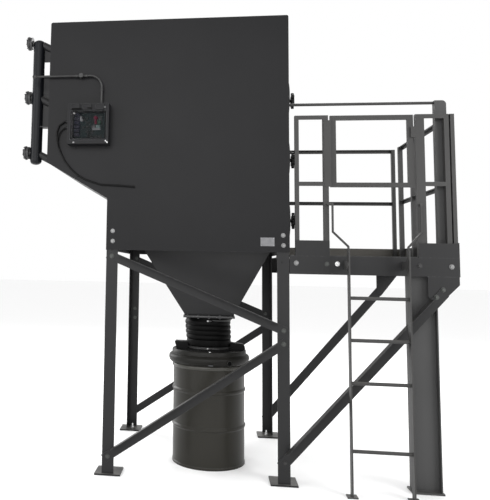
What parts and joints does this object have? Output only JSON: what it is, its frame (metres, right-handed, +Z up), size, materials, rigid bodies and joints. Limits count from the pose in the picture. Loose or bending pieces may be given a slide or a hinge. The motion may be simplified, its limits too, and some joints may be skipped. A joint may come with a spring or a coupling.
{
  "type": "cartridge dust collector",
  "caption": "Cartridge dust collector on a braced leg frame with hopper and drum, service platform with railing, ladder and self-closing gate, pulse header and control box.",
  "frame": {"origin": "middle of the four anchor holes of the leg frame at floor level", "axes": "+Z up, +X towards the platform end, the front sheet with the control box looks along -Y"},
  "size_m": [3.2975, 1.759, 3.505],
  "materials": {
    "housing_paint": "satin",
    "frame_paint": "satin",
    "deck_plate": "worn satin",
    "drum_paint": "satin",
    "bare_steel": "satin",
    "hose_rubber": "satin",
    "tank_paint": "gloss",
    "cast_aluminium": "cast",
    "knob_plastic": "satin",
    "box_plastic": "matt",
    "clear_cover": "gloss",
    "board_green": "matt",
    "light_conduit": "galvanised",
    "cable_jacket": "matt",
    "plate_aluminium": "satin"
  },
  "bodies": {
    "main": {"front_sheet": "housing_paint", "rear_sheet": "housing_paint", "left_wall": "housing_paint", "plenum_floor": "housing_paint", "tube_sheet": "housing_paint", "right_wall": "housing_paint", "roof_sheet": "housing_paint", "hopper": "housing_paint", "outlet_flange": "frame_paint", "flex_hose": "hose_rubber", "hose_clamps": "bare_steel", "drum_body": "drum_paint", "drum_lid": "drum_paint", "lid_handles": "drum_paint", "drum_ring": "bare_steel", "leg_front_left": "frame_paint", "leg_front_right": "frame_paint", "leg_rear_left": "frame_paint", "leg_rear_right": "frame_paint", "foot_plates": "frame_paint", "front_upper_brace": "frame_paint", "front_lower_brace": "frame_paint", "rear_upper_brace": "frame_paint", "rear_lower_brace": "frame_paint", "front_channel": "frame_paint", "rear_channel": "frame_paint", "end_channel": "frame_paint", "deck": "deck_plate", "toe_boards": "frame_paint", "front_knee_brace": "frame_paint", "rear_knee_brace": "frame_paint", "gussets": "frame_paint", "platform_column": "frame_paint", "railing_front": "frame_paint", "railing_end": "frame_paint", "railing_rear": "frame_paint", "gate_hinges": "bare_steel", "ladder_stringers": "frame_paint", "ladder_rungs": "frame_paint", "grab_rails": "frame_paint", "riser": "housing_paint", "overhead_bar": "frame_paint", "header_tank": "tank_paint", "header_brackets": "frame_paint", "pulse_valves": "cast_aluminium", "blow_pipes": "frame_paint", "access_covers": "housing_paint", "cover_knobs": "knob_plastic", "control_box": "box_plastic", "box_cover": "clear_cover", "circuit_board": "board_green", "conduit": "light_conduit", "sensor_cable": "cable_jacket", "nameplate": "plate_aluminium", "inlet_collar": "housing_paint", "outlet_collar": "housing_paint"},
    "gate": {"gate": "frame_paint"}
  },
  "joints": [
    {"name": "gate_swing", "type": "hinge", "parent": "main", "child": "gate", "pos_m": [0.99, -0.685, 2.4], "axis": [0, 0, 1], "range_deg": [0, 88], "stiffness_Nm_per_rad": 3, "springref_deg": -11.46}
  ]
}
